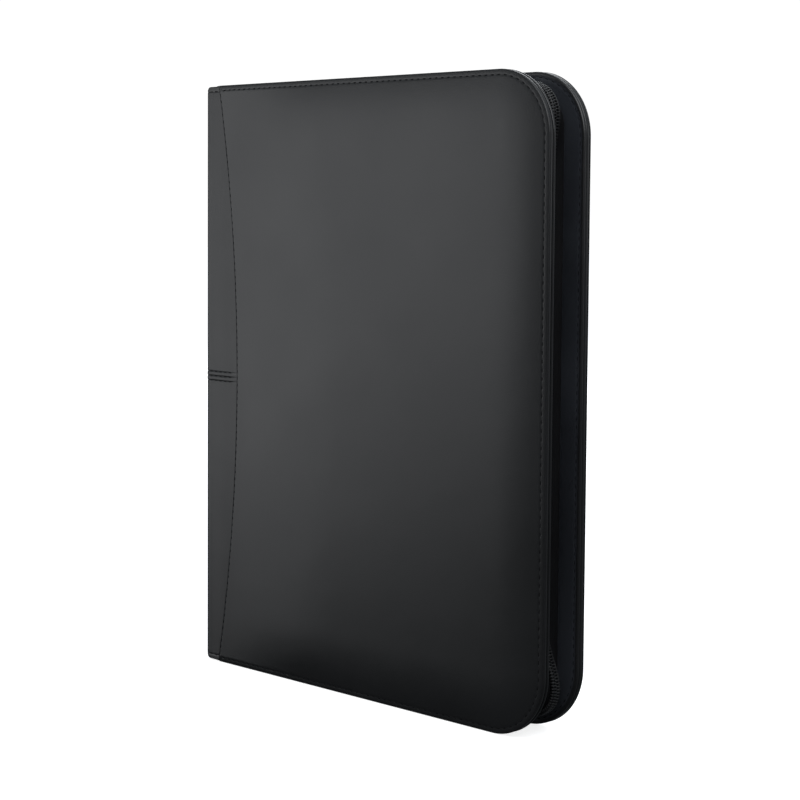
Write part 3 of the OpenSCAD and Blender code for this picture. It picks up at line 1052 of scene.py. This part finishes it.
def leaf_piece(number):
    node = f"leaf_{number:02d}"
    lo, hi = mm_box(node)
    mid_y = (lo[1] + hi[1]) / 2
    across = [(0.0, 0.0), (0.012, 0.75), (0.12, 1.0), (0.5, 0.86), (0.88, 1.0), (0.985, 0.7), (1.0, 0.0)]
    up = [(0.0, 0.0), (0.012, 0.8), (0.1, 1.0), (0.35, 0.9)]
    up += [(0.65, 0.9), (0.9, 1.0), (0.988, 0.8), (1.0, 0.0)]
    xs, hx = weld_lines(lo[0] + HEM_LEAF, hi[0], COLS, across)
    zs, hz = weld_lines(lo[2], hi[2], ROWS, up)
    xs, hx = [lo[0], lo[0] + HEM_LEAF / 2] + xs, [0.0, 0.0] + hx
    core, top = LEAF_CORE, (hi[1] - lo[1]) / 2
    verts, faces = [], []
    n = len(xs)
    for s in (-1, 1):
        base = len(verts)
        for z, b in zip(zs, hz):
            for x, a in zip(xs, hx):
                ripple = 0.93 + 0.07 * math.sin(0.11 * x + 0.07 * z + number)
                verts.append((x, mid_y + s * (core + (top - core) * min(a, b) * ripple), z))
        for r in range(len(zs) - 1):
            for c in range(n - 1):
                p = base + r * n + c
                faces.append((p, p + 1, p + n + 1, p + n))
    size = n * len(zs)
    rim = list(range(n)) + [r * n + n - 1 for r in range(1, len(zs))]
    rim += [(len(zs) - 1) * n + c for c in range(n - 2, -1, -1)]
    rim += [r * n for r in range(len(zs) - 2, 0, -1)]
    for a, b in zip(rim, rim[1:] + rim[:1]):
        faces.append((a, b, b + size, a + size))
    o = make(node + "_pockets", verts, faces, MAT["film"], 1, 35)
    o.data.materials.append(MAT["core"])
    for f in o.data.polygons:
        if all(abs(abs(o.data.vertices[v].co.y / MM - mid_y) - core) < 0.01 for v in f.vertices):
            f.material_index = 1
    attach(o, node)
    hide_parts(node)
    leaf_hinge(node, lo, hi, mid_y)


def leaf_hinge(node, lo, hi, mid_y):
    x0, x1 = TABS[1][0] - 0.3, lo[0] + 1.4
    rings = []
    for z in spread(lo[2] + 0.4, hi[2] - 0.4, 3):
        xs = spread(x0, x1, 12)
        near = [(x, mid_y - LEAF_HINGE, z) for x in xs]
        rings.append(near + [(x, mid_y + LEAF_HINGE, z) for x in xs[::-1]])
    verts, faces = loft(rings)
    o = make(node + "_hinge", verts, faces, MAT["core"], 1, 50)
    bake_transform(o)


for name, side in SIDES.items():
    cover_panel(name, side)
    cover_welt(name, side)
    cover_lining(name, side)
    cover_stitches(name, side)
    spine_half(name, side)
    seam_stitches(name, side)
    hinge_lining(name, side)
    zip_coil(name, side)
    zip_tape(name, side)
spine_stitches()
rounded("slider_body", "slider", 0.35, "slider")
rounded("slider_bail", "slider", 0.2, "slider")
rounded("pull_tab", "pull", 0.3, "slider")
for number in range(1, 21):
    leaf_piece(number)


# ---- studio ----
def studio_floor():
    me = bpy.data.meshes.new("floor")
    n, rings, drop = 48, [0.0, 0.4, 1.0, 2.5, 6.0, 12.0], -0.0004
    verts, faces = [(0.0, 0.0, drop)], []
    turns = [2 * math.pi * i / n for i in range(n)]
    for r in rings[1:]:
        verts += [(r * math.cos(a), r * math.sin(a), drop) for a in turns]
    faces += [(0, 1 + i, 1 + (i + 1) % n) for i in range(n)]
    for k in range(len(rings) - 2):
        a, b = 1 + k * n, 1 + (k + 1) * n
        faces += [(a + i, b + i, b + (i + 1) % n, a + (i + 1) % n) for i in range(n)]
    me.from_pydata(verts, [], faces)
    o = bpy.data.objects.new("floor", me)
    bpy.context.scene.collection.objects.link(o)
    m, t, bsdf, at = tree_of("floor")
    soft = noise(t, at, 3.0, 2.0)
    t.links.new(tint(t, soft, (0.84, 0.84, 0.84), (0.88, 0.88, 0.88)), bsdf.inputs["Base Color"])
    bsdf.inputs["Roughness"].default_value = 0.9
    bsdf.inputs["Specular IOR Level"].default_value = 0.0
    bsdf.inputs["Emission Color"].default_value = (1, 1, 1, 1)
    bsdf.inputs["Emission Strength"].default_value = 0.82
    me.materials.append(m)
    o.visible_glossy = False
    o.visible_diffuse = False


def studio_world():
    """White to the camera; to the object a soft sky, brighter to the upper left, dim below."""
    w = bpy.data.worlds.new("studio")
    bpy.context.scene.world = w
    w.use_nodes = True
    t = w.node_tree
    t.nodes.clear()
    out = t.nodes.new("ShaderNodeOutputWorld")
    mix = t.nodes.new("ShaderNodeMixShader")
    seen = t.nodes.new("ShaderNodeBackground")
    seen.inputs["Color"].default_value = (1, 1, 1, 1)
    seen.inputs["Strength"].default_value = 1.05
    lit = t.nodes.new("ShaderNodeBackground")
    where = t.nodes.new("ShaderNodeTexCoord")
    split = t.nodes.new("ShaderNodeSeparateXYZ")
    t.links.new(where.outputs["Generated"], split.inputs["Vector"])
    low = ramp(t, split.outputs["Y"], -0.1, 0.7, 0.035, 0.10)
    high = ramp(t, split.outputs["Y"], -0.1, 0.7, 0.36, 0.70)
    mid = t.nodes.new("ShaderNodeMix")
    t.links.new(ramp(t, split.outputs["Z"], -0.25, 0.9, 0.0, 1.0), mid.inputs["Factor"])
    t.links.new(low, mid.inputs["A"])
    t.links.new(high, mid.inputs["B"])
    up = mid.outputs["Result"]
    lit.inputs["Color"].default_value = (0.86, 0.94, 1.0, 1)
    t.links.new(up, lit.inputs["Strength"])
    ray = t.nodes.new("ShaderNodeLightPath")
    t.links.new(ray.outputs["Is Camera Ray"], mix.inputs["Fac"])
    t.links.new(lit.outputs[0], mix.inputs[1])
    t.links.new(seen.outputs[0], mix.inputs[2])
    t.links.new(mix.outputs[0], out.inputs["Surface"])


def softbox(name, place, aim, width, height, power, roll=0.0):
    """A rectangular area light at place that looks at aim."""
    light = bpy.data.lights.new(name, "AREA")
    light.shape = "RECTANGLE"
    light.size, light.size_y = width, height
    light.energy = power
    light.color = (0.965, 0.98, 1.0)
    o = bpy.data.objects.new(name, light)
    bpy.context.scene.collection.objects.link(o)
    o.location = place
    o.rotation_mode = "QUATERNION"
    turn = (Vector(aim) - Vector(place)).to_track_quat("-Z", "Y")
    o.rotation_quaternion = turn @ Quaternion((0, 0, 1), math.radians(roll))


def studio_camera():
    """A long lens from the fore edge's side, a little above the middle, with the view shifted down."""
    yaw, pitch, roll = math.radians(44.531), math.radians(3.912), math.radians(0.423)
    f = Vector((-math.sin(yaw) * math.cos(pitch), math.cos(yaw) * math.cos(pitch), -math.sin(pitch)))
    r = Vector((math.cos(yaw), math.sin(yaw), 0))
    u = r.cross(f)
    r2 = r * math.cos(roll) + u * math.sin(roll)
    u2 = u * math.cos(roll) - r * math.sin(roll)
    cam = bpy.data.cameras.new("camera")
    cam.sensor_width = 36
    cam.lens = 86.6
    cam.shift_y = -0.075
    o = bpy.data.objects.new("camera", cam)
    bpy.context.scene.collection.objects.link(o)
    m = Matrix((r2, u2, -f)).transposed().to_4x4()
    m.translation = Vector((0.7478, -0.7463, 0.2694))
    o.matrix_world = m
    bpy.context.scene.camera = o


CENTRE = (0.0, 0.0, 0.19)
studio_floor()
studio_world()
softbox("key", (-1.745, -1.515, 0.25), CENTRE, 1.5, 1.0, 8.5, 30.0)
softbox("front", (1.25, -1.5, 1.45), CENTRE, 0.9, 0.9, 4)
softbox("high", (0.38, -0.34, 0.64), CENTRE, 0.6, 0.6, 2.5)
softbox("edge", (1.4, 1.4, 0.5), CENTRE, 1.2, 0.6, 1.7)
softbox("back_fill", (-1.2, 1.8, 1.3), CENTRE, 1.4, 1.4, 16)
softbox("top", (0.2, -0.1, 2.2), CENTRE, 1.4, 1.4, 4)
studio_camera()
bpy.context.scene.view_settings.view_transform = "Standard"
